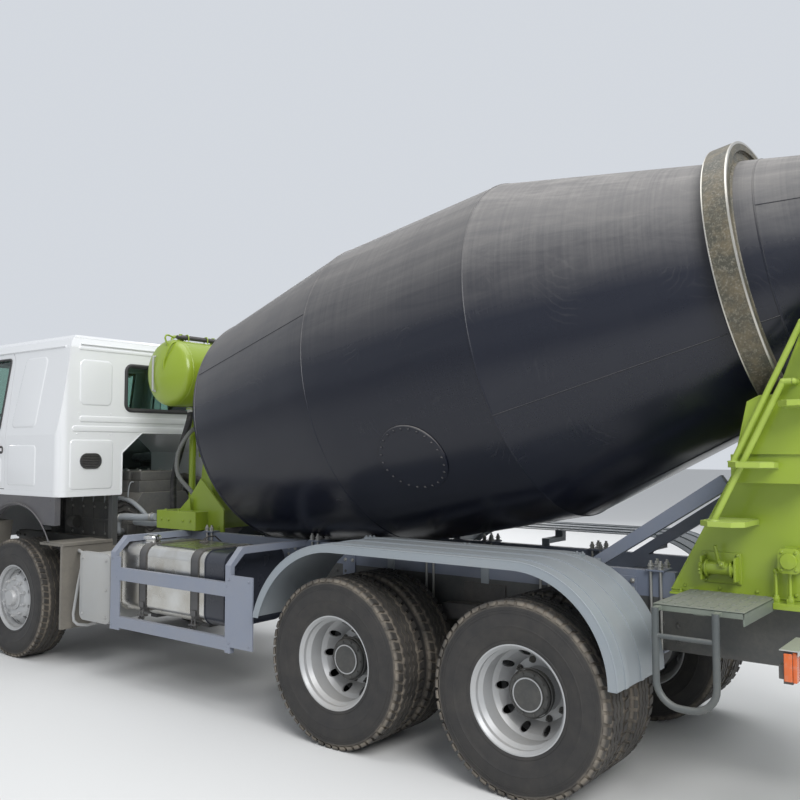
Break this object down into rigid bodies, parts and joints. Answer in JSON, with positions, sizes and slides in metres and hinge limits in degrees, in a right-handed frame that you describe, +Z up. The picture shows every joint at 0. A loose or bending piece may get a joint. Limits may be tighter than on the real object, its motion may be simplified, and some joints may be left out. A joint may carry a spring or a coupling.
{
  "type": "concrete mixer truck",
  "caption": "Truck with a tilting cab and a tilted rotating mixing drum on a chassis with twin rear axles, feed hopper and swinging discharge chute.",
  "frame": {"origin": "middle of the truck's box on the ground it stands on", "axes": "+X forward, +Y to the left, +Z up"},
  "size_m": [10.1483, 2.88, 3.943],
  "materials": {
    "frame": "satin dark grey",
    "guard": "satin grey-blue",
    "driveline": "oily dark",
    "axle": "matt dark",
    "tank_metal": "brushed",
    "strap": "worn",
    "box": "off-white, dusty",
    "exhaust": "heat-stained",
    "intake": "matt",
    "green": "gloss yellow-green",
    "hose": "matt",
    "step": "satin grey",
    "lamp": "gloss",
    "bumper": "gloss",
    "dark_plastic": "matt",
    "tyre": "dusty",
    "rim": "silver",
    "drum": "gloss near-black navy with dust",
    "ring": "worn dark steel",
    "blade": "worn",
    "roller": "worn",
    "cab_paint": "gloss white",
    "glass": "clear",
    "interior": "matt grey",
    "chrome": "polished"
  },
  "bodies": {
    "root": {"chassis_frame": "frame", "subframe": "guard", "driveline": "driveline", "front_axle": "axle", "rear_bogie": "axle", "fuel_tank": "tank_metal", "tank_straps": "strap", "side_guards": "guard", "side_boxes": "box", "exhaust": "exhaust", "air_intake": "intake", "rear_mudguards": "guard", "front_pedestal": "green", "reducer": "green", "water_tank": "green", "hoses": "hose", "rear_pedestal": "green", "bearing_brackets": "green", "ladder": "green", "rear_step": "step", "controls": "green", "feed_hopper": "green", "discharge_hopper": "green", "lamps": "lamp", "front_bumper": "bumper", "front_steps": "dark_plastic"},
    "knuckle_left": {"knuckle_left": "axle"},
    "knuckle_right": {"knuckle_right": "axle"},
    "track_rod": {"track_rod": "axle"},
    "drum": {"drum_shell": "drum", "drum_ring": "ring", "drum_blades": "blade"},
    "roller_left": {"roller_left": "roller"},
    "roller_right": {"roller_right": "roller"},
    "cab": {"cab_shell": "cab_paint", "cab_glass": "glass", "cab_interior": "interior", "cab_trim": "dark_plastic"},
    "front_panel": {"front_panel": "cab_paint"},
    "door_left": {"door_left": "cab_paint", "door_glass_left": "glass"},
    "door_right": {"door_right": "cab_paint", "door_glass_right": "glass"},
    "chute_bracket": {"chute_bracket": "green"},
    "swing_chute": {"swing_chute": "green"},
    "chute_extension": {"chute_extension": "green"},
    "jack_barrel": {"jack_barrel": "frame"},
    "jack_rod": {"jack_rod": "chrome"},
    "wheel_front_left": {"tyre_front_left": "tyre", "rim_front_left": "rim"},
    "wheel_mid_left": {"tyre_mid_left": "tyre", "rim_mid_left": "rim"},
    "wheel_rear_left": {"tyre_rear_left": "tyre", "rim_rear_left": "rim"},
    "wheel_front_right": {"tyre_front_right": "tyre", "rim_front_right": "rim"},
    "wheel_mid_right": {"tyre_mid_right": "tyre", "rim_mid_right": "rim"},
    "wheel_rear_right": {"tyre_rear_right": "tyre", "rim_rear_right": "rim"}
  },
  "joints": [
    {"name": "wheel_front_left_spin", "type": "hinge", "parent": "knuckle_left", "child": "wheel_front_left", "pos_m": [3.62415, 1.03, 0.542], "axis": [0, 1, 0], "continuous": true},
    {"name": "wheel_mid_left_spin", "type": "hinge", "parent": "root", "child": "wheel_mid_left", "pos_m": [-0.40085, 0.901, 0.542], "axis": [0, 1, 0], "continuous": true},
    {"name": "wheel_rear_left_spin", "type": "hinge", "parent": "root", "child": "wheel_rear_left", "pos_m": [-1.75085, 0.901, 0.542], "axis": [0, 1, 0], "continuous": true},
    {"name": "steer_left", "type": "hinge", "parent": "root", "child": "knuckle_left", "pos_m": [3.62415, 0.88, 0.542], "axis": [0, 0, 1], "range_deg": [-35, 35]},
    {"name": "wheel_front_right_spin", "type": "hinge", "parent": "knuckle_right", "child": "wheel_front_right", "pos_m": [3.62415, -1.03, 0.542], "axis": [0, 1, 0], "continuous": true},
    {"name": "wheel_mid_right_spin", "type": "hinge", "parent": "root", "child": "wheel_mid_right", "pos_m": [-0.40085, -0.901, 0.542], "axis": [0, 1, 0], "continuous": true},
    {"name": "wheel_rear_right_spin", "type": "hinge", "parent": "root", "child": "wheel_rear_right", "pos_m": [-1.75085, -0.901, 0.542], "axis": [0, 1, 0], "continuous": true},
    {"name": "steer_right", "type": "hinge", "parent": "root", "child": "knuckle_right", "pos_m": [3.62415, -0.88, 0.542], "axis": [0, 0, 1], "range_deg": [-35, 35]},
    {"name": "track_rod_pivot", "type": "hinge", "parent": "knuckle_left", "child": "track_rod", "pos_m": [3.29415, 0.85, 0.388], "axis": [0, 0, 1], "range_deg": [-40, 40]},
    {"name": "drum_spin", "type": "hinge", "parent": "root", "child": "drum", "pos_m": [-2.81533, 0, 2.90171], "axis": [-0.9816, 0, 0.1908], "continuous": true},
    {"name": "roller_left_spin", "type": "hinge", "parent": "root", "child": "roller_left", "pos_m": [-2.97424, 0.545, 2.08418], "axis": [-0.9816, 0, 0.1908], "continuous": true},
    {"name": "roller_right_spin", "type": "hinge", "parent": "root", "child": "roller_right", "pos_m": [-2.97424, -0.545, 2.08418], "axis": [-0.9816, 0, 0.1908], "continuous": true},
    {"name": "cab_tilt", "type": "hinge", "parent": "root", "child": "cab", "pos_m": [4.92415, 0, 1], "axis": [0, 1, 0], "range_deg": [0, 55]},
    {"name": "door_left_hinge", "type": "hinge", "parent": "cab", "child": "door_left", "pos_m": [4.81115, 1.169, 1.8], "axis": [0, 0, -1], "range_deg": [0, 70]},
    {"name": "door_right_hinge", "type": "hinge", "parent": "cab", "child": "door_right", "pos_m": [4.81115, -1.169, 1.8], "axis": [0, 0, 1], "range_deg": [0, 70]},
    {"name": "front_panel_lift", "type": "hinge", "parent": "cab", "child": "front_panel", "pos_m": [4.96615, 0, 1.948], "axis": [0, -1, 0], "range_deg": [0, 60]},
    {"name": "chute_swing", "type": "hinge", "parent": "root", "child": "chute_bracket", "pos_m": [-3.93585, 0, 1.5], "axis": [0, 0, 1], "range_deg": [-90, 90]},
    {"name": "chute_tilt", "type": "hinge", "parent": "chute_bracket", "child": "swing_chute", "pos_m": [-3.93585, 0, 2.02], "axis": [0, -1, 0], "range_deg": [-20, 10]},
    {"name": "extension_fold", "type": "hinge", "parent": "swing_chute", "child": "chute_extension", "pos_m": [-4.96557, 0, 1.61638], "axis": [0, -1, 0], "range_deg": [0, 175]},
    {"name": "jack_pivot", "type": "hinge", "parent": "chute_bracket", "child": "jack_barrel", "pos_m": [-4.08585, 0, 1.33], "axis": [0, 1, 0], "range_deg": [-40, 40]},
    {"name": "jack_slide", "type": "slide", "parent": "jack_barrel", "child": "jack_rod", "axis": [-0.3553, 0, 0.9348], "range_m": [-0.3, 0.3]}
  ],
  "couplings": [
    {"joint": "steer_right", "follows": "steer_left", "ratio": 1},
    {"joint": "track_rod_pivot", "follows": "steer_left", "ratio": -1.033},
    {"joint": "roller_left_spin", "follows": "drum_spin", "ratio": -6.6539},
    {"joint": "roller_right_spin", "follows": "drum_spin", "ratio": -6.6539},
    {"joint": "jack_pivot", "follows": "chute_tilt", "ratio": 0.15372},
    {"joint": "jack_slide", "follows": "chute_tilt", "m_per_rad": -0.3877}
  ]
}
